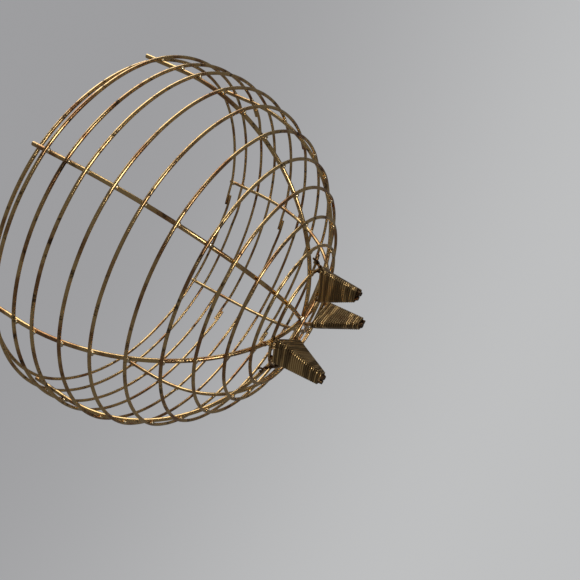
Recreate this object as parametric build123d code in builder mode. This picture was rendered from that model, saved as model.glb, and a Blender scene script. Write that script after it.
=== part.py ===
"""Open wire cage: a round, open-mouthed bowl of welded brass-plated wire on three wire-wrapped feet.

Millimetres, +Z up. The origin is on the ground, on the bowl's own axis. The bowl is a rounded floor that runs
into a straight wall. Hoops lie on the outside of eight ribs, and the rim ring lies inside their tops.
"""

import os
from math import cos, pi, radians, sin, sqrt, tan

from build123d import *

# ---- driving dimensions, in millimetres and degrees ----
hoop_wire = 1.2  # diameter of the hoops' wire
rim_wire = 1.2  # diameter of the rim ring's wire
rib_wire = 1.5  # diameter of the ribs' wire
core_wire = 1.5  # diameter of the rods inside a foot
wrap_wire = 0.75  # diameter of the wire wound round a foot

bowl_radius = 70.5  # axis to the hoops' centre line, at the straight wall
floor_flat = 3.7  # radius of the flat spot at the middle of the floor
floor_height = 16.4  # ground to the hoops' level at the middle of the floor
spacing_radius = 70.5  # bowl radius that the next three are given for: they grow with the bowl
first_hoop = 20.3  # middle of the floor to the lowest hoop, along the curve
hoop_gaps = [8.5, 10.0, 10.5, 10.5, 11.0, 11.0, 10.0, 10.0, 7.5, 8.5]  # from one hoop up to the next
rim_gap = 4.7  # top hoop up to the rim ring
rib_overhang = 1.6  # rib ends above the rim ring's centre
weld_sink = 0.08  # how far crossing wires are pressed into each other by the weld

rib_count = 8  # two long wires over the floor make four ribs, and four short wires make the rest
cross_angle = 12.0  # slope at which a long wire leaves the floor curve to cross the other
cross_bend = 25.0  # bend radius of a long wire beside the crossing
short_rib_start = 1.2 * rib_wire  # axis to the inner end of a short rib, clear of the long wires
pole_bead_radius = 1.4 * rib_wire  # wide enough to reach the short ribs' ends
pole_bead_height = 3.0
weld_bead_radius = 0.7

foot_hoop_radius = 20.1297  # lowest hoop's radius that the feet's radii and the tails' places are given for
foot_angles = {"a": 77.0, "b": 158.5, "c": 309.5}  # middle of each foot's two outer rods, at the lowest hoop
foot_spreads = {"a": 22.0, "b": 13.5, "c": 12.0}  # an outer rod's top, either side of that
inner_ribs = {"a": 90, "b": 180, "c": 270}  # which rib carries each foot's inner rod
inner_rod_radii = {"a": 9.0, "b": 7.6, "c": 7.4}  # axis to the inner rod's top
tip_angles = {"a": 47.0, "b": 142.0, "c": 264.0}
tip_radii = {"a": 20.2, "b": 18.0, "c": 15.3}  # axis to the middle of each foot's tip
rod_gap = 0.03  # between neighbouring rods at the tip
rod_reach = 0.05  # how far a rod's top is pressed into the wire above it
winding_start = 0.7  # ground to the lowest turn
winding_clear = 0.6  # top turn to the underside of the wire that a rod meets

tail_spots = {  # the wrap wire's twisted ends: foot, outer rod, and how far past which rib each crosses the hoop
    "foot_a_tail": ("a", "left", 45, 8.5),
    "foot_b_tail": ("b", "left", 135, 8.5),
    "foot_c_tail_left": ("c", "left", 270, 14.0),
    "foot_c_tail_right": ("c", "right", 315, 3.0),
}
tail_wire = 2 * wrap_wire  # diameter over two twisted strands
tail_clear = 0.7  # between a tail and the lowest hoop
tail_root = 4.0  # top turn down to where a tail leaves the rod
tail_reach = 2.8  # how far a tail's end stands out past the hoop
tail_height = 1.8  # how far a tail's end stands above the hoop

# ---- sizes that follow ----
curve_radius = bowl_radius - floor_flat  # hoops' centre line, floor to wall
curve_height = floor_height + curve_radius  # where the wall starts
hoop_to_rib = (hoop_wire + rib_wire) / 2 - weld_sink
rim_to_rib = (rim_wire + rib_wire) / 2 - weld_sink
rib_curve = curve_radius - hoop_to_rib  # ribs' centre line, floor to wall
rib_wall = bowl_radius - hoop_to_rib
rib_floor = curve_height - rib_curve
rim_radius = rib_wall - rim_to_rib
crossing_shift = (rib_wire - weld_sink) / 2
arc_length = curve_radius * pi / 2
spacing = bowl_radius / spacing_radius


def bowl_point(distance):
    """The hoops' centre line at this distance from the middle: radius, height and slope from level."""
    along = distance - floor_flat
    if along < 0:
        return distance, floor_height, 0.0
    if along < arc_length:
        slope = along / curve_radius
        return floor_flat + curve_radius * sin(slope), curve_height - curve_radius * cos(slope), slope
    return bowl_radius, curve_height + along - arc_length, pi / 2


hoop_distances = [first_hoop * spacing]
for gap in hoop_gaps:
    hoop_distances.append(hoop_distances[-1] + gap * spacing)
hoop_distances.reverse()
rim_distance = hoop_distances[0] + rim_gap * spacing
rim_height = bowl_point(rim_distance)[1]
rib_top = rim_height + rib_overhang
low_hoop_radius, low_hoop_height, _ = bowl_point(hoop_distances[-1])
foot_scale = low_hoop_radius / foot_hoop_radius
rib_angles = [360 * i / rib_count for i in range(rib_count)]


def polar(radius, angle, height):
    return Vector(radius * cos(radians(angle)), radius * sin(radians(angle)), height)


def upright_plane(angle):
    """The plane through the axis at this angle, its x running outwards and its y upwards."""
    return Plane(
        origin=(0, 0, 0),
        x_dir=(cos(radians(angle)), sin(radians(angle)), 0),
        z_dir=(sin(radians(angle)), -cos(radians(angle)), 0),
    )


os.makedirs("parts", exist_ok=True)


def write(part, name):
    part.label = name
    export_step(part, f"parts/{name}.step")


# ---- rim ring and hoops ----
with BuildPart(Plane.XY.offset(rim_height)) as rim_ring:
    Torus(rim_radius, rim_wire / 2)
write(rim_ring.part, "rim_ring")

for number, distance in enumerate(hoop_distances, 1):
    ring_radius, ring_height, _ = bowl_point(distance)
    with BuildPart(Plane.XY.offset(ring_height)) as hoop:
        Torus(ring_radius, hoop_wire / 2)
    write(hoop.part, f"hoop_{number:02d}")


# ---- two long wires, which cross at the middle of the floor ----
leave_slope = radians(cross_angle)
leave_x = floor_flat + rib_curve * sin(leave_slope)
leave_y = curve_height - rib_curve * cos(leave_slope)
bend_length = cross_bend * tan(leave_slope / 2)


def crossing_bend(level):
    """Where a long wire's bend beside the crossing begins and ends, and the height of its level part."""
    level_y = rib_floor + level
    knee_x = leave_x - (leave_y - level_y) / tan(leave_slope)
    bend_x = knee_x + bend_length * cos(leave_slope)
    bend_y = level_y + bend_length * sin(leave_slope)
    return bend_x, bend_y, knee_x - bend_length, level_y


def long_rib(angle, level):
    """A wire down one wall, over the floor at this level above the plain floor curve, and up the other."""
    bend_x, bend_y, level_x, level_y = crossing_bend(level)
    with BuildPart() as rib:
        with BuildLine(upright_plane(angle)) as route:
            Line((-rib_wall, rib_top), (-rib_wall, curve_height))
            CenterArc((-floor_flat, curve_height), rib_curve, 180, 90 - cross_angle)
            Line((-leave_x, leave_y), (-bend_x, bend_y))
            TangentArc((-bend_x, bend_y), (-level_x, level_y), tangent=(cos(leave_slope), -sin(leave_slope)))
            Line((-level_x, level_y), (level_x, level_y))
            TangentArc((level_x, level_y), (bend_x, bend_y), tangent=(1, 0))
            Line((bend_x, bend_y), (leave_x, leave_y))
            CenterArc((floor_flat, curve_height), rib_curve, 270 + cross_angle, 90 - cross_angle)
            Line((rib_wall, curve_height), (rib_wall, rib_top))
        with BuildSketch(Plane(origin=route.line @ 0, z_dir=route.line % 0)):
            Circle(rib_wire / 2)
        sweep(path=route.line)
    return rib.part


write(long_rib(0, crossing_shift), "long_rib_upper")
write(long_rib(90, -crossing_shift), "long_rib_lower")


# ---- four short ribs, from beside the crossing up to the rim ----
def short_rib(angle):
    with BuildPart() as rib:
        with BuildLine(upright_plane(angle)) as route:
            Line((short_rib_start, rib_floor), (floor_flat, rib_floor))
            CenterArc((floor_flat, curve_height), rib_curve, 270, 90)
            Line((rib_wall, curve_height), (rib_wall, rib_top))
        with BuildSketch(Plane(origin=route.line @ 0, z_dir=route.line % 0)):
            Circle(rib_wire / 2)
        sweep(path=route.line)
    return rib.part


for number, angle in enumerate(rib_angles[1::2], 1):
    write(short_rib(angle), f"short_rib_{number}")

# ---- the welds: a bead over the crossing, and a small bead below each hoop on each rib ----
with BuildPart(Plane.XY.offset(rib_floor)) as pole_bead:
    Cylinder(pole_bead_radius, pole_bead_height)
    fillet(pole_bead.edges().filter_by(GeomType.CIRCLE), pole_bead_height * 0.48)
write(pole_bead.part, "pole_bead")


def bead_point(distance, angle, inward):
    """The corner between a ring and a rib, on the side of the ring that faces the floor."""
    ring_radius, ring_height, slope = bowl_point(distance)
    down = hoop_wire / 2 + 0.1
    radius = ring_radius - down * cos(slope) - inward * sin(slope)
    height = ring_height - down * sin(slope) + inward * cos(slope)
    return polar(radius, angle, height)


hoop_beads = [bead_point(d, a, hoop_to_rib / 3) for d in hoop_distances for a in rib_angles]
rim_beads = [bead_point(rim_distance, a, hoop_to_rib + rim_to_rib * 2 / 3) for a in rib_angles]
with BuildPart() as weld_beads:
    with Locations(*hoop_beads, *rim_beads):
        Sphere(weld_bead_radius)
write(weld_beads.part, "weld_beads")


# ---- feet: three rods each, close together at the ground and spread under the bowl ----
rods = ["left", "right", "inner"]
tip_spacing = (core_wire + rod_gap) / sqrt(3)  # middle of the tip to a rod's centre, when three rods touch


def rib_height(angle, radius):
    """The centre line of the rib at this angle, at this distance from the axis, within the floor's curve."""
    level = {0: crossing_shift, 90: -crossing_shift}.get(angle % 180)
    if level is not None:
        bend_x, bend_y, level_x, level_y = crossing_bend(level)
        if radius < level_x:
            return level_y
        if radius < bend_x:
            return level_y + cross_bend - sqrt(cross_bend**2 - (radius - level_x) ** 2)
        if radius < leave_x:
            return bend_y + (radius - bend_x) * tan(leave_slope)
    run = max(radius - floor_flat, 0)
    return curve_height - sqrt(rib_curve**2 - run**2)


def rod_top(foot, rod):
    """Where a rod meets the wire above it."""
    if rod == "inner":
        angle = inner_ribs[foot]
        radius = inner_rod_radii[foot] * foot_scale
        return polar(radius, angle, rib_height(angle, radius) - rib_wire / 2 + rod_reach)
    side = -1 if rod == "left" else 1
    height = low_hoop_height - hoop_wire / 2 + rod_reach
    return polar(low_hoop_radius, foot_angles[foot] + side * foot_spreads[foot], height)


def rod_foot(foot, rod):
    """Where a rod's centre line meets the ground. Rods that lean need more room there."""
    middle = polar(tip_radii[foot] * foot_scale, tip_angles[foot], 0)
    along = (rod_top(foot, "left") + rod_top(foot, "right") + rod_top(foot, "inner")) / 3 - middle
    turn = {"left": -60, "right": 60, "inner": 180}[rod]
    return middle + polar(tip_spacing * along.length / along.Z, foot_angles[foot] + turn, 0)


def rod_at(foot, rod, height):
    """A rod's centre line at this height."""
    low = rod_foot(foot, rod)
    high = rod_top(foot, rod)
    return low + (high - low) * (height / high.Z)


for foot in foot_angles:
    for rod in rods:
        low = rod_at(foot, rod, -2 * core_wire)
        high = rod_top(foot, rod)
        with BuildPart() as core_rod:
            with BuildSketch(Plane(origin=low, z_dir=high - low)):
                Circle(core_wire / 2)
            extrude(amount=(high - low).length)
            split(bisect_by=Plane.XY, keep=Keep.TOP)
        write(core_rod.part, f"foot_{foot}_rod_{rod}")

# ---- windings: a close-wound skin round the three rods of each foot, its top turn just under the cage ----
skin_inside = core_wire / 2
skin_outside = skin_inside + wrap_wire


def winding_end(foot, rod):
    """A rod's centre line at the top turn."""
    return rod_at(foot, rod, rod_top(foot, rod).Z - rod_reach - winding_clear)


for foot in foot_angles:
    low_corners = [rod_at(foot, rod, winding_start) for rod in rods]
    high_corners = [winding_end(foot, rod) for rod in rods]
    across = high_corners[1] - high_corners[0]
    top_plane = Plane(origin=high_corners[0], x_dir=across, z_dir=across.cross(high_corners[2] - high_corners[0]))
    with BuildPart() as winding:
        for wall, mode in ((skin_outside, Mode.ADD), (skin_inside, Mode.SUBTRACT)):
            for plane, corners in ((Plane.XY.offset(winding_start), low_corners), (top_plane, high_corners)):
                with BuildSketch(plane):
                    with BuildLine():
                        Polyline(*[plane.to_local_coords(corner) for corner in corners], close=True)
                    make_face()
                    offset(amount=wall, kind=Kind.ARC)
            loft(ruled=True, mode=mode)
    write(winding.part, f"foot_{foot}_winding")

# ---- tails: the twisted ends of the wrap wire, which stand out past the lowest hoop ----
pass_radius = low_hoop_radius + (hoop_wire + tail_wire) / 2 + tail_clear
for name, (foot, rod, rib_angle, turn) in tail_spots.items():
    angle = rib_angle + turn / foot_scale
    root = rod_at(foot, rod, winding_end(foot, rod).Z - tail_root)
    passing = polar(pass_radius, angle, low_hoop_height)
    end = polar(pass_radius + tail_reach, angle, low_hoop_height + tail_height)
    with BuildPart() as tail:
        with BuildLine() as route:
            Line(root, passing)
            TangentArc(passing, end, tangent=passing - root)
        with BuildSketch(Plane(origin=route.line @ 0, z_dir=route.line % 0)):
            Circle(tail_wire / 2)
        sweep(path=route.line)
    write(tail.part, name)
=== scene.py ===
"""Looks for an open wire cage: a bowl of hoops and ribs on three feet wound with fine wire.

Every operator makes one piece, or one group of like pieces, round the fixed frame that is loaded at
the top. All lengths are metres, in the frame's own axes: z is up, and the ground is z = 0.
"""

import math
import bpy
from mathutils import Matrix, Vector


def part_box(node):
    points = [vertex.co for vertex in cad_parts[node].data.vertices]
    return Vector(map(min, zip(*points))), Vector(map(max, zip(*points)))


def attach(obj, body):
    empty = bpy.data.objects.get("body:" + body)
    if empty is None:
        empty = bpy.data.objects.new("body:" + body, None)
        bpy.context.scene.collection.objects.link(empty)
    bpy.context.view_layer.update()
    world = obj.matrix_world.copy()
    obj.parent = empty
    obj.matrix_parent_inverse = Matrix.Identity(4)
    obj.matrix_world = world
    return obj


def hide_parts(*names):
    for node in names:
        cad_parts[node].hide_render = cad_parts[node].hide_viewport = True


bl_info = {
    "name": "Wire Cage",
    "version": (1, 0, 0),
    "blender": (4, 5, 0),
    "location": "View3D > Sidebar > Wire Cage",
    "description": "Builds the finish, the wound feet and the stage of an open wire cage",
    "category": "Add Mesh",
}

import bpy
import numpy as np
from bpy.props import FloatProperty, FloatVectorProperty, IntVectorProperty, PointerProperty
from mathutils import Matrix, Vector

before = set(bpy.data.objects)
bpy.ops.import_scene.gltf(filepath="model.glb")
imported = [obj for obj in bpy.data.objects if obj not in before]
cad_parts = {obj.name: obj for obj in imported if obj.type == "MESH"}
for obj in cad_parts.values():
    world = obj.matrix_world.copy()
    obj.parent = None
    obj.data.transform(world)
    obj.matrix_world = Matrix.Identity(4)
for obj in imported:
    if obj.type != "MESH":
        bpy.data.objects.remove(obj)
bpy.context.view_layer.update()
MM = 0.001
BODY = "root"

HOOPS = sorted(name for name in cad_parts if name.startswith("hoop_"))
RINGS = [*HOOPS, "rim_ring"]
RIBS = sorted(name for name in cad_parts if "_rib_" in name)
FEET = ["foot_a", "foot_b", "foot_c"]
RODS = ["rod_left", "rod_right", "rod_inner"]
TAILS = sorted(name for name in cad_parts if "_tail" in name)
RIB_COUNT = 8
# The bay in which each ring's ends meet, in the order of RINGS
LAP_BAYS = [3, 2, 4, 3, 2, 4, 3, 2, 4, 3, 2, 3]

# How a piece's vertices are told apart
STANDING = 0.01 * MM  # a rod's vertex lower than this is at its lower end
BESIDE_ROD = 2.6 * MM  # a winding's vertex nearer than this to a rod's upper end is in the top turn
BESIDE_CROSSING = 2.4 * MM  # a bead's vertices are nearer than this to its crossing
TAIL_ROOT = 0.9 * MM  # height of the part of a tail that is taken as its root
TAIL_TIP = 0.5 * MM  # reach of the part of a tail that is taken as its tip
TAIL_MIDDLE = 0.6 * MM  # a tail's vertices this near the lowest hoop's level are where it bends

ROD_RADIUS = 0.75 * MM  # of the rods inside a foot
CORNER_SHARPNESS = 8.0  # how closely a turn of wrap wire keeps to the foot's three corners
FIRST_SEED = 1.3  # where the winding of the first foot starts, in radians and in the pattern of its wander
SEED_STEP = 2.1  # how far on the next foot's winding starts
STEPS_PER_TURN = 96  # points along one turn of wrap wire
HOOP_STEPS = 420  # points along a hoop
LAP_START = 0.12  # where a lap starts in its bay, as a share of the bay
LAP_BEND = 2.2  # length over which an end bends aside, in lengths of a lap
BEAD_SHAPE = (1.0, 0.72, 0.72)  # a small bead's half length, width and height, as shares of the weld size
POLE_BEAD_SHAPE = (0.95, 0.85, 0.85)  # the large bead's half size, as shares of its solid's
LUMP_SHARE = 0.5  # size of a bead's lumps, as a share of its half length


# ------------------------------------------------------------------------------
# What the frame says about the wires
# ------------------------------------------------------------------------------


def ring_size(node):
    """The radius and height of a ring's centre line, and the radius of its wire."""
    low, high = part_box(node)
    wire = (high.z - low.z) / 2
    return (high.x - low.x) / 2 - wire, (high.z + low.z) / 2, wire


def vertices(node):
    """A node's vertices, one row each."""
    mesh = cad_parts[node].data
    flat = np.empty(len(mesh.vertices) * 3)
    mesh.vertices.foreach_get("co", flat)
    return flat.reshape(-1, 3)


def box_middle(points):
    return Vector((points.min(0) + points.max(0)) / 2)


def rod_ends(foot, rod):
    """The middles of a rod's lower end, which stands on the ground, and of its upper end."""
    points = vertices(f"{foot}_{rod}")
    standing = points[:, 2] < STANDING
    return box_middle(points[standing]), box_middle(points[~standing])


def wound_part(foot, rod, wire):
    """The points of a rod's centre line at the lowest and the top turn of wire of this radius."""
    low, high = rod_ends(foot, rod)
    skin = vertices(f"{foot}_winding")
    beside_top = skin[np.linalg.norm(skin - np.array(high), axis=1) < BESIDE_ROD]
    heights = (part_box(f"{foot}_winding")[0].z + wire, float(beside_top[:, 2].mean()) - wire)
    return [low + (high - low) * (height / high.z) for height in heights]


def meridian(height):
    """The direction up the bowl's side at this height, as a pair: outwards and upwards."""
    sizes = sorted(ring_size(node)[:2][::-1] for node in HOOPS)
    heights = [size[0] for size in sizes]
    radii = [size[1] for size in sizes]
    step = 2 * MM
    low, high = (float(np.interp(height + side * step, heights, radii)) for side in (-1, 1))
    run = Vector((high - low, 2 * step))
    if height < heights[1]:
        run = Vector((radii[1] - radii[0], heights[1] - heights[0]))
    return run.normalized()


def weld_spots():
    """The middle of each weld bead, read from the frame's group of beads."""
    beads = vertices("weld_beads")
    spots = []
    for node in RINGS:
        radius, height = ring_size(node)[:2]
        for turn in range(RIB_COUNT):
            angle = 2 * math.pi * turn / RIB_COUNT
            crossing = np.array([radius * math.cos(angle), radius * math.sin(angle), height])
            near = beads[np.linalg.norm(beads - crossing, axis=1) < BESIDE_CROSSING]
            if len(near) == 0:
                raise RuntimeError(f"no weld bead near {node} at rib {turn}")
            spots.append(box_middle(near))
    return spots


# ------------------------------------------------------------------------------
# Settings
# ------------------------------------------------------------------------------


class WireSettings(bpy.types.PropertyGroup):
    """Small faults that hand-bent wire has."""

    hoop_flat: FloatProperty(
        name="Flat between ribs",
        description="How far a hoop is pulled in midway between two ribs",
        default=0.25 * MM,
        unit="LENGTH",
    )
    hoop_wander: FloatProperty(
        name="Wander",
        description="How far a hoop strays from a true circle",
        default=0.35 * MM,
        unit="LENGTH",
    )
    lap_length: FloatProperty(
        name="Lap",
        description="Length over which a hoop's two ends lie side by side",
        default=5 * MM,
        unit="LENGTH",
    )
    weld_size: FloatProperty(
        name="Weld bead",
        description="Half the length of a weld bead",
        default=0.85 * MM,
        unit="LENGTH",
    )


class FootSettings(bpy.types.PropertyGroup):
    """Sizes of the wire wound round the feet."""

    wrap_wire: FloatProperty(
        name="Wrap wire",
        description="Diameter of the wire wound round a foot",
        default=0.75 * MM,
        unit="LENGTH",
    )
    turns: IntVectorProperty(
        name="Turns",
        description="Turns of wire on each of the three feet",
        size=3,
        default=(19, 21, 24),
        min=4,
        max=60,
    )
    wander: FloatProperty(
        name="Wander",
        description="How unevenly the turns lie",
        default=0.07 * MM,
        unit="LENGTH",
    )
    twist_turns: FloatProperty(
        name="Tail twists",
        description="Turns that the two strands of a tail make round each other",
        default=2.5,
    )


class FinishSettings(bpy.types.PropertyGroup):
    """Colours of the aged plating."""

    gold: FloatVectorProperty(
        name="Gold",
        description="Plating where it is still bright",
        subtype="COLOR",
        default=(0.76, 0.52, 0.23),
        min=0,
        max=1,
    )
    copper: FloatVectorProperty(
        name="Copper",
        description="Plating that has turned red-brown",
        subtype="COLOR",
        default=(0.42, 0.22, 0.095),
        min=0,
        max=1,
    )
    # The patina colour also serves as painted shade in the groove between the turns of the wound wire.
    patina: FloatVectorProperty(
        name="Patina",
        description="Dark brown patches and grooves",
        subtype="COLOR",
        default=(0.085, 0.055, 0.033),
        min=0,
        max=1,
    )
    weld: FloatVectorProperty(
        name="Weld",
        description="Bright weld metal",
        subtype="COLOR",
        default=(0.90, 0.74, 0.47),
        min=0,
        max=1,
    )


class StageSettings(bpy.types.PropertyGroup):
    """Floor, background, lights and camera."""

    floor: FloatVectorProperty(
        name="Floor",
        description="Colour of the pale floor",
        subtype="COLOR",
        default=(0.62, 0.62, 0.63),
        min=0,
        max=1,
    )
    background: FloatVectorProperty(
        name="Background",
        description="Colour of the background near the horizon",
        subtype="COLOR",
        default=(0.52, 0.525, 0.53),
        min=0,
        max=1,
    )
    background_top: FloatVectorProperty(
        name="Background, high",
        description="Colour of the background high up",
        subtype="COLOR",
        default=(0.34, 0.34, 0.35),
        min=0,
        max=1,
    )
    surroundings: FloatProperty(
        name="Surroundings",
        description="Brightness of the room that the metal reflects",
        default=0.13,
        min=0,
    )
    window_power: FloatProperty(
        name="Low light",
        description="Power of the light that reaches the cage from below its feet",
        default=2.6,
        subtype="POWER",
    )
    key_power: FloatProperty(
        name="Main light",
        description="Power of the large overhead light",
        default=6.0,
        subtype="POWER",
    )
    fill_power: FloatProperty(
        name="Ceiling lights",
        description="Power of each of the two lights that only the floor shows",
        default=7.0,
        subtype="POWER",
    )
    lens: FloatProperty(
        name="Lens",
        description="Focal length of the camera, in millimetres",
        default=40.59,
    )


SETTINGS = {
    "cage_wires": WireSettings,
    "cage_feet": FootSettings,
    "cage_finish": FinishSettings,
    "cage_stage": StageSettings,
}


# ------------------------------------------------------------------------------
# Node tree helpers
# ------------------------------------------------------------------------------


def feed(tree, socket, value):
    """Links value to a socket if value is a socket too, and sets it as the socket's number otherwise."""
    if isinstance(value, bpy.types.NodeSocket):
        tree.links.new(value, socket)
    else:
        socket.default_value = value


def add(tree, kind, inputs=None, **settings):
    """Adds a node with these settings and inputs, and returns it."""
    node = tree.nodes.new(kind)
    for key, value in settings.items():
        setattr(node, key, value)
    for key, value in (inputs or {}).items():
        feed(tree, node.inputs[key], value)
    return node


def calc(tree, operation, *values):
    """A Math node's result."""
    return add(tree, "ShaderNodeMath", dict(enumerate(values)), operation=operation).outputs[0]


def plus(tree, first, *others):
    """The sum of several numbers."""
    for other in others:
        first = calc(tree, "ADD", first, other)
    return first


def minus(tree, first, second):
    """The difference of two numbers."""
    return calc(tree, "SUBTRACT", first, second)


def times(tree, first, *others):
    """The product of several numbers."""
    for other in others:
        first = calc(tree, "MULTIPLY", first, other)
    return first


def vec(tree, operation, *values):
    """A Vector Math node's result: a vector, or a number for a dot product or a length."""
    node = add(tree, "ShaderNodeVectorMath", operation=operation)
    places = [0, 3] if operation == "SCALE" else range(len(values))
    for place, value in zip(places, values):
        feed(tree, node.inputs[place], value)
    return node.outputs["Value" if operation in ("DOT_PRODUCT", "LENGTH", "DISTANCE") else "Vector"]


def join_xyz(tree, x=0.0, y=0.0, z=0.0):
    return add(tree, "ShaderNodeCombineXYZ", {"X": x, "Y": y, "Z": z}).outputs[0]


def remap(tree, value, start, end, low=0.0, high=1.0, shape="SMOOTHSTEP"):
    """Maps value from start..end to low..high, and holds it there outside."""
    inputs = {"Value": value, "From Min": start, "From Max": end, "To Min": low, "To Max": high}
    return add(tree, "ShaderNodeMapRange", inputs, interpolation_type=shape, clamp=True).outputs["Result"]


def noise(tree, place, scale, detail=2.0, rough=0.5):
    """A noise texture's value, about 0.5, at a place."""
    inputs = {"Vector": place, "Scale": scale, "Detail": detail, "Roughness": rough}
    return add(tree, "ShaderNodeTexNoise", inputs, noise_dimensions="3D").outputs[0]


def swing(tree, place, scale, detail=2.0):
    """A noise texture's value about zero, at a place."""
    return minus(tree, noise(tree, place, scale, detail), 0.5)


def mix_color(tree, share, first, second, blend="MIX"):
    """Two colours mixed."""
    node = add(tree, "ShaderNodeMix", data_type="RGBA", blend_type=blend)
    feed(tree, node.inputs[0], share)
    feed(tree, node.inputs[6], first)
    feed(tree, node.inputs[7], second)
    return node.outputs[2]


def new_tree(name, kind, inputs, outputs):
    """A node group with named inputs and outputs.

    Returns the tree, its input sockets by name and its output node.
    """
    tree = bpy.data.node_groups.new(name, kind)
    for label, (socket, default) in inputs.items():
        item = tree.interface.new_socket(name=label, in_out="INPUT", socket_type=socket)
        if default is not None:
            item.default_value = default
    for label, socket in outputs.items():
        tree.interface.new_socket(name=label, in_out="OUTPUT", socket_type=socket)
    given = tree.nodes.new("NodeGroupInput")
    result = tree.nodes.new("NodeGroupOutput")
    return tree, {socket.name: socket for socket in given.outputs if socket.name}, result


FLOAT = "NodeSocketFloat"
VECTOR = "NodeSocketVector"
COLOR = "NodeSocketColor"
WHOLE = "NodeSocketInt"
SHAPE = "NodeSocketGeometry"
MATERIAL = "NodeSocketMaterial"


def path_points(tree, count):
    """A curve of so many points, and each point's place along it from 0 to 1."""
    line = add(tree, "GeometryNodeCurvePrimitiveLine", {"End": (0.0, 0.0, 1.0)})
    evenly = {"Curve": line.outputs[0], "Count": count}
    points = add(tree, "GeometryNodeResampleCurve", evenly, mode="COUNT")
    along = add(tree, "GeometryNodeSplineParameter").outputs["Factor"]
    return points.outputs[0], along


def wire_along(tree, curve, radius, sides):
    """A closed round wire along a curve."""
    circle = {"Resolution": sides, "Radius": radius}
    profile = add(tree, "GeometryNodeCurvePrimitiveCircle", circle, mode="RADIUS")
    inputs = {"Curve": curve, "Profile Curve": profile.outputs["Curve"], "Fill Caps": True}
    return add(tree, "GeometryNodeCurveToMesh", inputs).outputs[0]


def remember(tree, shape, name, value, kind):
    """The shape with a value stored on its points under a name."""
    inputs = {"Geometry": shape, "Name": name, "Value": value}
    return add(tree, "GeometryNodeStoreNamedAttribute", inputs, data_type=kind, domain="POINT").outputs[0]


def finish_tree(tree, result, shape, material):
    """Ends a geometry tree with real, smooth-shaded mesh in its material."""
    real = add(tree, "GeometryNodeRealizeInstances", {"Geometry": shape})
    smooth = add(tree, "GeometryNodeSetShadeSmooth", {"Geometry": real.outputs[0], "Shade Smooth": True})
    coated = add(tree, "GeometryNodeSetMaterial", {"Geometry": smooth.outputs[0], "Material": material})
    feed(tree, result.inputs["Geometry"], coated.outputs[0])


# ------------------------------------------------------------------------------
# Geometry trees
# ------------------------------------------------------------------------------


def hoop_tree():
    """A hoop of wire, slightly flat between the ribs, whose two ends lie side by side."""
    inputs = {
        "Radius": (FLOAT, 0.05),
        "Height": (FLOAT, 0.05),
        "Wire Radius": (FLOAT, 0.0006),
        "Flat": (FLOAT, 0.0),
        "Wander": (FLOAT, 0.0),
        "Lap Start": (FLOAT, 0.0),
        "Lap Angle": (FLOAT, 0.1),
        "Lap Bend": (FLOAT, 0.15),
        "Side": (VECTOR, (0.0, 0.0, 1.0)),
        "Seed": (FLOAT, 0.0),
        "Steps": (WHOLE, 400),
        "Material": (MATERIAL, None),
    }
    tree, given, result = new_tree("Hoop of Wire", "GeometryNodeTree", inputs, {"Geometry": SHAPE})
    points, along = path_points(tree, given["Steps"])
    sweep = plus(tree, given["Lap Angle"], 2 * math.pi)
    swept = times(tree, along, sweep)
    angle = plus(tree, swept, given["Lap Start"])
    cosine = calc(tree, "COSINE", angle)
    sine = calc(tree, "SINE", angle)

    bay = calc(tree, "ABSOLUTE", calc(tree, "SINE", times(tree, angle, RIB_COUNT / 2)))
    stray_spot = join_xyz(tree, cosine, sine, times(tree, given["Seed"], 3.7))
    stray = swing(tree, stray_spot, 1.6)
    lift_spot = join_xyz(tree, sine, cosine, times(tree, given["Seed"], 5.3))
    lift = swing(tree, lift_spot, 1.9)

    # The first end bends aside one way and the last end the other, so that they lie side by side
    lap_left = minus(tree, sweep, swept)
    bend_end = plus(tree, given["Lap Angle"], given["Lap Bend"])
    first = remap(tree, swept, given["Lap Angle"], bend_end, 1.0, 0.0)
    last = remap(tree, lap_left, given["Lap Angle"], bend_end, 1.0, 0.0)
    beside = times(tree, minus(tree, last, first), given["Wire Radius"])
    side = add(tree, "ShaderNodeSeparateXYZ", {"Vector": given["Side"]}).outputs

    flatter = minus(tree, given["Radius"], times(tree, bay, given["Flat"]))
    radius = plus(tree, flatter, times(tree, stray, given["Wander"]), times(tree, beside, side["X"]))
    lifted = times(tree, lift, given["Wander"])
    height = plus(tree, given["Height"], lifted, times(tree, beside, side["Z"]))
    place = join_xyz(tree, times(tree, radius, cosine), times(tree, radius, sine), height)
    bent = add(tree, "GeometryNodeSetPosition", {"Geometry": points, "Position": place})
    wire = wire_along(tree, bent.outputs[0], given["Wire Radius"], 14)
    finish_tree(tree, result, wire, given["Material"])
    return tree


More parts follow.
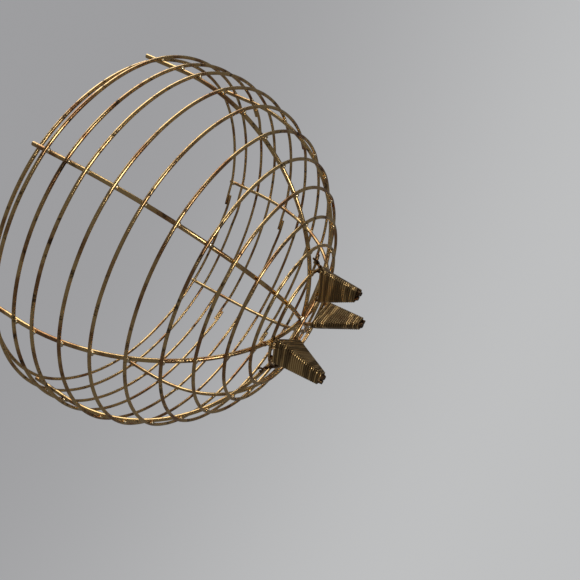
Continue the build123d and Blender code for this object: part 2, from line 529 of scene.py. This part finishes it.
def bead_tree():
    """Lumps of weld metal, one at each vertex of the mesh that the tree is used on."""
    inputs = {
        "Geometry": (SHAPE, None),
        "Size": (VECTOR, (0.0008, 0.0006, 0.0006)),
        "Lumps": (FLOAT, 0.0001),
        "Lump Scale": (FLOAT, 900.0),
        "Seed": (WHOLE, 0),
        "Material": (MATERIAL, None),
    }
    tree, given, result = new_tree("Weld Beads", "GeometryNodeTree", inputs, {"Geometry": SHAPE})
    ball = add(tree, "GeometryNodeMeshIcoSphere", {"Radius": 1.0, "Subdivisions": 3})
    place = add(tree, "GeometryNodeInputPosition").outputs[0]
    parts = add(tree, "ShaderNodeSeparateXYZ", {"Vector": place}).outputs
    facing = calc(tree, "ARCTAN2", parts["Y"], parts["X"])
    along_ring = plus(tree, facing, math.pi / 2)
    tilts = {2: -0.5, 3: 0.5, "Seed": given["Seed"]}
    turn = add(tree, "FunctionNodeRandomValue", tilts, data_type="FLOAT")
    rotation = join_xyz(tree, turn.outputs[1], 0.0, along_ring)
    shares = {0: (0.8, 0.8, 0.8), 1: (1.25, 1.15, 1.15), "Seed": given["Seed"]}
    size = add(tree, "FunctionNodeRandomValue", shares, data_type="FLOAT_VECTOR")
    scale = vec(tree, "MULTIPLY", size.outputs[0], given["Size"])
    spots = add(tree, "GeometryNodeMeshToPoints", {"Mesh": given["Geometry"]})
    copies = {"Points": spots.outputs[0], "Instance": ball.outputs[0], "Rotation": rotation, "Scale": scale}
    beads = add(tree, "GeometryNodeInstanceOnPoints", copies)
    real = add(tree, "GeometryNodeRealizeInstances", {"Geometry": beads.outputs[0]})
    normal = add(tree, "GeometryNodeInputNormal").outputs[0]
    swell = swing(tree, place, given["Lump Scale"], 1.0)
    push = vec(tree, "SCALE", normal, times(tree, swell, given["Lumps"]))
    lumpy = add(tree, "GeometryNodeSetPosition", {"Geometry": real.outputs[0], "Offset": push})
    finish_tree(tree, result, lumpy.outputs[0], given["Material"])
    return tree


def winding_tree():
    """Wire wound round three rods that come together towards the ground."""
    inputs = {"Rod Radius": (FLOAT, 0.00075), "Wire Radius": (FLOAT, 0.000375)}
    for number in (1, 2, 3):
        inputs[f"Low {number}"] = (VECTOR, (0.0, 0.0, 0.0))
        inputs[f"High {number}"] = (VECTOR, (0.0, 0.0, 1.0))
    inputs |= {
        "Turns": (FLOAT, 20.0),
        "Steps": (WHOLE, 1900),
        "Corner": (FLOAT, 8.0),
        "Wander": (FLOAT, 0.0),
        "Seed": (FLOAT, 0.0),
        "Material": (MATERIAL, None),
    }
    tree, given, result = new_tree("Wound Foot", "GeometryNodeTree", inputs, {"Geometry": SHAPE})
    points, along = path_points(tree, given["Steps"])
    wave_spot = join_xyz(tree, times(tree, along, given["Turns"]), given["Seed"])
    uneven = times(tree, swing(tree, wave_spot, 1.7), given["Wander"])
    length = vec(tree, "DISTANCE", given["Low 1"], given["High 1"])
    # The turns wander up and down the foot, but not at its ends
    inside = times(tree, along, minus(tree, 1.0, along), 4.0)
    shift = times(tree, calc(tree, "DIVIDE", uneven, length), calc(tree, "MINIMUM", inside, 0.5))
    share = plus(tree, along, times(tree, shift, 2.0))
    turned = plus(tree, times(tree, along, given["Turns"], 2 * math.pi), given["Seed"])
    facing = join_xyz(tree, calc(tree, "COSINE", turned), calc(tree, "SINE", turned))

    rods = []
    for number in (1, 2, 3):
        low = given[f"Low {number}"]
        rise = vec(tree, "SUBTRACT", given[f"High {number}"], low)
        rods.append(vec(tree, "ADD", low, vec(tree, "SCALE", rise, share)))
    rod_sum = vec(tree, "ADD", vec(tree, "ADD", rods[0], rods[1]), rods[2])
    middle = vec(tree, "SCALE", rod_sum, 1 / 3)
    # A turn lies on the rod that it faces, and passes smoothly from one rod to the next
    spread = vec(tree, "DISTANCE", rods[0], rods[1])
    weights = []
    for rod in rods:
        reach = vec(tree, "DOT_PRODUCT", vec(tree, "SUBTRACT", rod, middle), facing)
        pull = times(tree, calc(tree, "DIVIDE", reach, spread), given["Corner"])
        weights.append(calc(tree, "EXPONENT", pull))
    total = plus(tree, *weights)
    parts = []
    for rod, weight in zip(rods, weights):
        parts.append(vec(tree, "SCALE", rod, calc(tree, "DIVIDE", weight, total)))
    corner = vec(tree, "ADD", vec(tree, "ADD", parts[0], parts[1]), parts[2])
    loose = times(tree, calc(tree, "ABSOLUTE", uneven), 0.4)
    wrap = plus(tree, given["Rod Radius"], given["Wire Radius"], loose)
    place = vec(tree, "ADD", corner, vec(tree, "SCALE", facing, wrap))
    wound = add(tree, "GeometryNodeSetPosition", {"Geometry": points, "Position": place})
    out = remember(tree, wound.outputs[0], "facing", facing, "FLOAT_VECTOR")
    wire = wire_along(tree, out, given["Wire Radius"], 12)
    normal = add(tree, "GeometryNodeInputNormal").outputs[0]
    kept = add(tree, "GeometryNodeInputNamedAttribute", {"Name": "facing"}, data_type="FLOAT_VECTOR")
    crest = vec(tree, "DOT_PRODUCT", normal, kept.outputs[0])
    shaped = remember(tree, wire, "crest", crest, "FLOAT")
    finish_tree(tree, result, shaped, given["Material"])
    return tree


def tail_tree():
    """Two strands twisted round each other along a bent line, a little apart at the loose end."""
    inputs = {
        "Root": (VECTOR, (0.0, 0.0, 0.0)),
        "Bend": (VECTOR, (0.0, 0.0, 0.001)),
        "End": (VECTOR, (0.001, 0.0, 0.001)),
        "Strand Radius": (FLOAT, 0.00024),
        "Twists": (FLOAT, 3.5),
        "Splay": (FLOAT, 1.2),
        "Material": (MATERIAL, None),
    }
    tree, given, result = new_tree("Twisted Tail", "GeometryNodeTree", inputs, {"Geometry": SHAPE})
    ends = {"Start": given["Root"], "Middle": given["Bend"], "End": given["End"], "Resolution": 64}
    bow = add(tree, "GeometryNodeCurveQuadraticBezier", ends)
    evenly = {"Curve": bow.outputs[0], "Count": 90}
    line = add(tree, "GeometryNodeResampleCurve", evenly, mode="COUNT").outputs[0]
    along = add(tree, "GeometryNodeSplineParameter").outputs["Factor"]
    normal = add(tree, "GeometryNodeInputNormal").outputs[0]
    tangent = add(tree, "GeometryNodeInputTangent").outputs[0]
    across = vec(tree, "CROSS_PRODUCT", tangent, normal)
    place = add(tree, "GeometryNodeInputPosition").outputs[0]
    strands = add(tree, "GeometryNodeJoinGeometry")
    splay_start = 0.72  # share of the tail's length where the strands part
    shorter = 0.12  # share by which the second strand stops early
    for side in (0, 1):
        turn = plus(tree, times(tree, along, given["Twists"], 2 * math.pi), side * math.pi)
        splay = plus(tree, given["Splay"], 1.0 + 0.5 * side)
        apart = remap(tree, along, splay_start, 1.0, 1.0, splay)
        reach = times(tree, given["Strand Radius"], apart)
        out = vec(tree, "SCALE", normal, times(tree, calc(tree, "COSINE", turn), reach))
        over = vec(tree, "SCALE", across, times(tree, calc(tree, "SINE", turn), reach))
        moved = {"Geometry": line, "Position": vec(tree, "ADD", place, vec(tree, "ADD", out, over))}
        strand = add(tree, "GeometryNodeSetPosition", moved)
        kept = {"Curve": strand.outputs[0], "Start": 0.0, "End": 1.0 - shorter * side}
        cut = add(tree, "GeometryNodeTrimCurve", kept, mode="FACTOR")
        tree.links.new(wire_along(tree, cut.outputs[0], given["Strand Radius"], 10), strands.inputs[0])
    finish_tree(tree, result, strands.outputs[0], given["Material"])
    return tree


def grow(name, tree, values, mesh=None):
    """Runs a geometry tree once and returns its result as an object with a plain mesh."""
    piece = bpy.data.objects.new(name, mesh or bpy.data.meshes.new(name))
    bpy.context.scene.collection.objects.link(piece)
    maker = piece.modifiers.new("maker", "NODES")
    maker.node_group = tree
    for item in tree.interface.items_tree:
        if item.in_out == "INPUT" and item.name in values:
            value = values[item.name]
            maker[item.identifier] = tuple(value) if isinstance(value, Vector) else value
    bpy.context.view_layer.update()
    graph = bpy.context.evaluated_depsgraph_get()
    made = bpy.data.meshes.new_from_object(piece.evaluated_get(graph), depsgraph=graph)
    if len(made.polygons) == 0:
        raise RuntimeError(f"{name} came out empty")
    piece.modifiers.clear()
    piece.data = made
    made.name = name
    made.set_sharp_from_angle(angle=math.radians(55))
    return piece


def stand_in(piece, slot, *nodes):
    """The piece rides with the frame and stands for these nodes. Its slot argument is not used."""
    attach(piece, BODY)
    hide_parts(*nodes)


# ------------------------------------------------------------------------------
# Materials
# ------------------------------------------------------------------------------


def aged_plating_group():
    """Plating that is bright in places and red-brown or dark in others, with fine speckles and grain."""
    name = "Aged Plating"
    if name in bpy.data.node_groups:
        return bpy.data.node_groups[name]
    inputs = {
        "Gold": (COLOR, (0.66, 0.41, 0.15, 1.0)),
        "Copper": (COLOR, (0.40, 0.19, 0.065, 1.0)),
        "Patina": (COLOR, (0.075, 0.042, 0.02, 1.0)),
        "Copper Share": (FLOAT, 0.5),
        "Patina Share": (FLOAT, 0.4),
        "Polish": (FLOAT, 0.28),
        "Offset": (VECTOR, (0.0, 0.0, 0.0)),
    }
    outputs = {"Color": COLOR, "Roughness": FLOAT, "Height": FLOAT, "Dark": FLOAT}
    tree, given, result = new_tree(name, "ShaderNodeTree", inputs, outputs)
    place = add(tree, "ShaderNodeTexCoord").outputs["Object"]
    place = vec(tree, "ADD", place, given["Offset"])
    broad = noise(tree, place, 95.0, 3.0, 0.55)
    patch = noise(tree, vec(tree, "ADD", place, (0.31, 0.17, 0.05)), 230.0, 4.0, 0.62)
    speckle = noise(tree, place, 1500.0, 3.0, 0.6)
    grain = noise(tree, place, 4200.0, 2.0, 0.5)

    # Broad red-brown areas, then dark patches and pits
    red_edge = minus(tree, 0.78, times(tree, given["Copper Share"], 0.5))
    redness = remap(tree, broad, minus(tree, red_edge, 0.12), plus(tree, red_edge, 0.06))
    dark_edge = minus(tree, 0.80, times(tree, given["Patina Share"], 0.55))
    patchy = plus(tree, patch, times(tree, minus(tree, speckle, 0.5), 0.35))
    dark = remap(tree, patchy, minus(tree, dark_edge, 0.07), plus(tree, dark_edge, 0.07))
    pits = remap(tree, speckle, 0.60, 0.70, 0.0, 0.75)
    dark = calc(tree, "MAXIMUM", dark, times(tree, pits, remap(tree, broad, 0.35, 0.6)))

    # Fine grain in the colour, the roughness and the relief
    warm = mix_color(tree, redness, given["Gold"], given["Copper"])
    shade = plus(tree, 0.82, times(tree, grain, 0.36))
    warm = mix_color(tree, 1.0, warm, join_xyz(tree, shade, shade, shade), "MULTIPLY")
    colour = mix_color(tree, times(tree, dark, 0.85), warm, given["Patina"])
    uneven = times(tree, minus(tree, grain, 0.5), 0.22)
    rough = plus(tree, given["Polish"], times(tree, dark, 0.24), uneven, times(tree, redness, 0.06))
    relief = minus(tree, times(tree, grain, 0.25), times(tree, dark, 0.6))
    relief = plus(tree, relief, times(tree, speckle, 0.5))
    for label, value in (("Color", colour), ("Roughness", rough), ("Height", relief), ("Dark", dark)):
        feed(tree, result.inputs[label], value)
    return tree


def plated_material(name, copper_share, patina_share, polish, shift, painted_groove_shade=False, bright="gold"):
    """Aged plating as a material. The groove option paints shade on the wound wire: it is darker where the
    wire faces inwards, into the groove between turns.
    """
    finish = bpy.context.scene.cage_finish
    material = bpy.data.materials.new(name)
    material.use_nodes = True
    tree = material.node_tree
    tree.nodes.clear()
    plating = add(tree, "ShaderNodeGroup", node_tree=aged_plating_group())
    values = {
        "Gold": (*getattr(finish, bright), 1.0),
        "Copper": (*finish.copper, 1.0),
        "Patina": (*finish.patina, 1.0),
        "Copper Share": copper_share,
        "Patina Share": patina_share,
        "Polish": polish,
        "Offset": shift,
    }
    for label, value in values.items():
        plating.inputs[label].default_value = value
    colour, rough = plating.outputs["Color"], plating.outputs["Roughness"]
    if painted_groove_shade:
        # Painted shade: where the wound wire faces inwards, into the groove between turns, its colour is
        # mixed towards the patina colour; it is also made rougher there.
        crest = add(tree, "ShaderNodeAttribute", attribute_name="crest").outputs["Fac"]
        groove_shade = remap(tree, crest, -0.2, 0.55, 1.0, 0.0)
        colour = mix_color(tree, times(tree, groove_shade, 0.65), colour, (*finish.patina, 1.0))
        rough = plus(tree, rough, times(tree, groove_shade, 0.25))
    relief = {"Height": plating.outputs["Height"], "Distance": 0.08 * MM, "Strength": 0.35}
    bump = add(tree, "ShaderNodeBump", relief)
    surface = {"Base Color": colour, "Roughness": rough, "Normal": bump.outputs[0], "Metallic": 1.0}
    shader = add(tree, "ShaderNodeBsdfPrincipled", surface)
    out = add(tree, "ShaderNodeOutputMaterial")
    tree.links.new(shader.outputs[0], out.inputs["Surface"])
    material.diffuse_color = (*finish.gold, 1.0)
    return material


# How much of each plating has turned red-brown or dark, its roughness, and its place in the pattern
PLATINGS = {
    "hoop_plating": {"copper_share": 0.40, "patina_share": 0.34, "polish": 0.24, "shift": (0.0, 0.0, 0.0)},
    "rib_plating": {"copper_share": 0.38, "patina_share": 0.30, "polish": 0.23, "shift": (0.4, 0.1, 0.2)},
    "wrap_plating": {
        "copper_share": 0.22,
        "patina_share": 0.18,
        "polish": 0.30,
        "shift": (0.7, 0.3, 0.1),
        # painted shade in the groove between the turns of the wound wire
        "painted_groove_shade": True,
    },
    "tail_plating": {"copper_share": 0.60, "patina_share": 0.62, "polish": 0.30, "shift": (0.2, 0.8, 0.5)},
    "core_plating": {"copper_share": 0.60, "patina_share": 0.66, "polish": 0.34, "shift": (0.9, 0.6, 0.3)},
    "weld_plating": {
        "copper_share": 0.04,
        "patina_share": 0.08,
        "polish": 0.26,
        "shift": (0.1, 0.2, 0.9),
        "bright": "weld",
    },
}


def material_named(name):
    """The cage's material of this name, made on first use."""
    if name in bpy.data.materials:
        return bpy.data.materials[name]
    return plated_material(name, **PLATINGS[name])


def finish_node(node, material):
    """Gives a frame node its finish."""
    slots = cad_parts[node].material_slots
    if len(slots) == 0:
        raise RuntimeError(f"{node} has no material slot")
    for slot in slots:
        slot.material = material


# ------------------------------------------------------------------------------
# Operators
# ------------------------------------------------------------------------------


class CAGE_OT_hoops(bpy.types.Operator):
    """Make the eleven hoops and the rim ring of slightly uneven wire"""

    bl_idname = "cage.hoops"
    bl_label = "Hoops and Rim"

    def execute(self, context):
        sizes = context.scene.cage_wires
        tree = hoop_tree()
        for number, node in enumerate(RINGS):
            radius, height, wire = ring_size(node)
            outward, upward = meridian(height)
            bay = 2 * math.pi / RIB_COUNT
            lap = sizes.lap_length / radius
            values = {
                "Radius": radius,
                "Height": height,
                "Wire Radius": wire,
                "Flat": sizes.hoop_flat,
                "Wander": sizes.hoop_wander,
                "Lap Start": (LAP_BAYS[number] + LAP_START) * bay,
                "Lap Angle": lap,
                "Lap Bend": LAP_BEND * lap,
                "Side": Vector((outward, 0.0, upward)),
                "Seed": float(number + 1),
                "Steps": HOOP_STEPS,
                "Material": material_named("hoop_plating"),
            }
            piece = grow(f"{node}_wire", tree, values)
            stand_in(piece, "hoop_wire", node)
        return {"FINISHED"}


class CAGE_OT_ribs(bpy.types.Operator):
    """Give the ribs their plating"""

    bl_idname = "cage.ribs"
    bl_label = "Ribs"

    def execute(self, context):
        for node in RIBS:
            finish_node(node, material_named("rib_plating"))
        return {"FINISHED"}


class CAGE_OT_welds(bpy.types.Operator):
    """Make the weld beads at the crossings and the larger one under the floor"""

    bl_idname = "cage.welds"
    bl_label = "Weld Beads"

    def execute(self, context):
        size = context.scene.cage_wires.weld_size
        tree = bead_tree()
        spots = bpy.data.meshes.new("weld_spots")
        spots.from_pydata([tuple(spot) for spot in weld_spots()], [], [])
        values = {
            "Size": Vector([share * size for share in BEAD_SHAPE]),
            "Lumps": LUMP_SHARE * size,
            "Lump Scale": 700.0,
            "Seed": 4,
            "Material": material_named("weld_plating"),
        }
        stand_in(grow("weld_beads_metal", tree, values, spots), "weld_metal", "weld_beads")

        low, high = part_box("pole_bead")
        middle = bpy.data.meshes.new("pole_spot")
        middle.from_pydata([tuple((low + high) / 2)], [], [])
        half = (high - low) / 2
        values |= {
            "Size": Vector([share * reach for share, reach in zip(POLE_BEAD_SHAPE, half)]),
            "Lumps": LUMP_SHARE * half.x,
            "Lump Scale": 330.0,
            "Seed": 9,
        }
        stand_in(grow("pole_bead_metal", tree, values, middle), "weld_metal", "pole_bead")
        return {"FINISHED"}


class CAGE_OT_feet(bpy.types.Operator):
    """Wind the fine wire round each foot's rods"""

    bl_idname = "cage.feet"
    bl_label = "Feet"

    def execute(self, context):
        sizes = context.scene.cage_feet
        tree = winding_tree()
        for number, foot in enumerate(FEET):
            for rod in RODS:
                finish_node(f"{foot}_{rod}", material_named("core_plating"))
            wire = sizes.wrap_wire / 2
            values = {
                "Rod Radius": ROD_RADIUS,
                "Wire Radius": wire,
                "Turns": float(sizes.turns[number]),
                "Steps": sizes.turns[number] * STEPS_PER_TURN,
                "Corner": CORNER_SHARPNESS,
                "Wander": sizes.wander,
                "Seed": FIRST_SEED + number * SEED_STEP,
                "Material": material_named("wrap_plating"),
            }
            for place, rod in enumerate(RODS, 1):
                values[f"Low {place}"], values[f"High {place}"] = wound_part(foot, rod, wire)
            stand_in(grow(f"{foot}_wrap", tree, values), "wrap_wire", f"{foot}_winding")
        return {"FINISHED"}


class CAGE_OT_tails(bpy.types.Operator):
    """Twist the loose ends of the wrap wire"""

    bl_idname = "cage.tails"
    bl_label = "Twisted Tails"

    def execute(self, context):
        sizes = context.scene.cage_feet
        tree = tail_tree()
        ring_height = ring_size(HOOPS[-1])[1]
        for node in TAILS:
            points = vertices(node)
            low = points[points[:, 2] < points[:, 2].min() + TAIL_ROOT].mean(0)
            reach = np.hypot(points[:, 0], points[:, 1])
            tip = points[reach > reach.max() - TAIL_TIP].mean(0)
            beside = points[np.abs(points[:, 2] - ring_height) < TAIL_MIDDLE].mean(0)
            bend = Vector(2 * beside - (low + tip) / 2)
            values = {
                "Root": Vector(low),
                "Bend": bend,
                "End": Vector(tip),
                "Strand Radius": 0.5 * sizes.wrap_wire,
                "Twists": sizes.twist_turns,
                "Splay": 1.1,
                "Material": material_named("tail_plating"),
            }
            stand_in(grow(f"{node}_twist", tree, values), "wrap_wire", node)
        return {"FINISHED"}


AIM = Vector((0.0, 0.0, 0.05))  # the point that the lights face
WARM = (1.0, 0.98, 0.95)
SOFT = (1.0, 0.99, 0.97)
COOL = (0.98, 0.99, 1.0)
LIGHTS = {
    "window": {"place": (0.48, 0.22, -0.58), "size": 0.32, "power": "window_power", "colour": WARM},
    "overhead": {"place": (0.15, 0.62, 0.75), "size": 0.9, "power": "key_power", "colour": SOFT},
    "ceiling_left": {"place": (-0.5, -0.7, 1.1), "size": 0.9, "power": "fill_power", "colour": COOL},
    "ceiling_right": {"place": (0.6, 0.6, 1.1), "size": 0.9, "power": "fill_power", "colour": COOL},
}
MATTE_LIGHTS = ["ceiling_left", "ceiling_right"]  # the metal doesn't reflect these

FLOOR_HALF = 4.0
FLOOR_DROP = 0.02 * MM  # below the feet's tips
FLOOR_BLEND = (0.15, 1.1)  # where the floor starts to turn into the background, and where it ends

# Where the camera stands, and the directions behind it and above it
CAMERA_PLACE = Vector((0.22633, -0.02786, -0.05037))
CAMERA_BACK = Vector((0.93560, -0.14622, -0.32137))
CAMERA_UP = Vector((0.28414, 0.85210, 0.43953))


def area_light(name, place, size, power, colour):
    """A soft square light at a place, facing the cage."""
    place = Vector(place)
    data = bpy.data.lights.new(name, "AREA")
    data.shape = "RECTANGLE"
    data.size = size
    data.size_y = size
    data.energy = power
    data.color = colour
    light = bpy.data.objects.new(name, data)
    light.location = place
    light.rotation_mode = "QUATERNION"
    light.rotation_quaternion = (AIM - place).to_track_quat("-Z", "Y")
    bpy.context.scene.collection.objects.link(light)
    return light


def make_floor(settings):
    """A pale floor that is seen only from above, so that the cage can also be looked at from below."""
    mesh = bpy.data.meshes.new("floor")
    half = FLOOR_HALF
    corners = [(-half, -half, 0), (half, -half, 0), (half, half, 0), (-half, half, 0)]
    mesh.from_pydata(corners, [], [(0, 1, 2, 3)])
    mesh.transform(Matrix.Translation((0, 0, -FLOOR_DROP)))
    floor = bpy.data.objects.new("floor", mesh)
    bpy.context.scene.collection.objects.link(floor)
    material = bpy.data.materials.new("pale_floor")
    material.use_nodes = True
    tree = material.node_tree
    tree.nodes.clear()
    place = add(tree, "ShaderNodeTexCoord").outputs["Object"]
    cloud = noise(tree, place, 3.0, 3.0)
    tone = remap(tree, cloud, 0.3, 0.7, 0.96, 1.03, "LINEAR")
    colour = mix_color(tree, 1.0, (*settings.floor, 1.0), join_xyz(tree, tone, tone, tone), "MULTIPLY")
    matte = add(tree, "ShaderNodeBsdfPrincipled", {"Base Color": colour, "Roughness": 0.7})
    distant = add(tree, "ShaderNodeEmission", {"Color": (*settings.background, 1.0), "Strength": 1.0})
    reach = vec(tree, "LENGTH", place)
    blend = remap(tree, reach, *FLOOR_BLEND)
    matte = add(tree, "ShaderNodeMixShader", {0: blend, 1: matte.outputs[0], 2: distant.outputs[0]})
    clear = add(tree, "ShaderNodeBsdfTransparent")
    under = add(tree, "ShaderNodeNewGeometry").outputs["Backfacing"]
    shown = add(tree, "ShaderNodeMixShader", {0: under, 1: matte.outputs[0], 2: clear.outputs[0]})
    out = add(tree, "ShaderNodeOutputMaterial")
    tree.links.new(shown.outputs[0], out.inputs["Surface"])
    mesh.materials.append(material)
    floor.visible_glossy = False


def make_world(settings):
    """A pale background, and a dimmer room for the metal to reflect."""
    world = bpy.data.worlds.new("studio")
    world.use_nodes = True
    tree = world.node_tree
    tree.nodes.clear()
    towards = add(tree, "ShaderNodeTexCoord").outputs["Generated"]
    height = add(tree, "ShaderNodeSeparateXYZ", {"Vector": towards}).outputs["Z"]
    share = remap(tree, height, -0.05, 0.62)
    seen = mix_color(tree, share, (*settings.background, 1.0), (*settings.background_top, 1.0))
    backdrop = add(tree, "ShaderNodeBackground", {"Color": seen, "Strength": 1.0})
    level = settings.surroundings
    room = add(tree, "ShaderNodeBackground", {"Color": (level, level, level * 1.02, 1.0), "Strength": 1.0})
    camera_ray = add(tree, "ShaderNodeLightPath").outputs["Is Camera Ray"]
    mixed = add(tree, "ShaderNodeMixShader", {0: camera_ray, 1: room.outputs[0], 2: backdrop.outputs[0]})
    out = add(tree, "ShaderNodeOutputWorld")
    tree.links.new(mixed.outputs[0], out.inputs["Surface"])
    bpy.context.scene.world = world


def make_camera(settings):
    """A camera close under the feet's side, looking up into the cage."""
    data = bpy.data.cameras.new("camera")
    data.lens = settings.lens
    data.sensor_width = 36.0
    data.clip_start = 0.01
    data.dof.use_dof = False
    camera = bpy.data.objects.new("camera", data)
    back = CAMERA_BACK.normalized()
    up = CAMERA_UP.normalized()
    right = up.cross(back).normalized()
    up = back.cross(right)
    turn = Matrix((right, up, back)).transposed().to_4x4()
    camera.matrix_world = Matrix.Translation(CAMERA_PLACE) @ turn
    bpy.context.scene.collection.objects.link(camera)
    bpy.context.scene.camera = camera


class CAGE_OT_stage(bpy.types.Operator):
    """Set up the floor, the background, the lights and the camera"""

    bl_idname = "cage.stage"
    bl_label = "Stage"

    def execute(self, context):
        settings = context.scene.cage_stage
        make_floor(settings)
        make_world(settings)
        for name, lamp in LIGHTS.items():
            power = getattr(settings, lamp["power"])
            light = area_light(name, lamp["place"], lamp["size"], power, lamp["colour"])
            light.visible_glossy = name not in MATTE_LIGHTS
        make_camera(settings)
        context.scene.view_settings.view_transform = "Standard"
        return {"FINISHED"}


OPERATORS = [CAGE_OT_hoops, CAGE_OT_ribs, CAGE_OT_welds, CAGE_OT_feet, CAGE_OT_tails, CAGE_OT_stage]


class CAGE_PT_panel(bpy.types.Panel):
    """The cage's settings and pieces"""

    bl_label = "Wire Cage"
    bl_idname = "CAGE_PT_panel"
    bl_space_type = "VIEW_3D"
    bl_region_type = "UI"
    bl_category = "Wire Cage"

    def draw(self, context):
        layout = self.layout
        for name, group in SETTINGS.items():
            box = layout.box()
            box.label(text=group.__doc__)
            for field in group.__annotations__:
                box.prop(getattr(context.scene, name), field)
        for operator in OPERATORS:
            layout.operator(operator.bl_idname)


def register():
    for group in SETTINGS.values():
        bpy.utils.register_class(group)
    for name, group in SETTINGS.items():
        setattr(bpy.types.Scene, name, PointerProperty(type=group))
    for kind in (*OPERATORS, CAGE_PT_panel):
        bpy.utils.register_class(kind)


def unregister():
    for kind in (CAGE_PT_panel, *reversed(OPERATORS)):
        bpy.utils.unregister_class(kind)
    for name in SETTINGS:
        delattr(bpy.types.Scene, name)
    for group in reversed(SETTINGS.values()):
        bpy.utils.unregister_class(group)


def main():
    register()
    bpy.ops.cage.hoops()
    bpy.ops.cage.ribs()
    bpy.ops.cage.welds()
    bpy.ops.cage.feet()
    bpy.ops.cage.tails()
    bpy.ops.cage.stage()


if __name__ == "__main__":
    main()
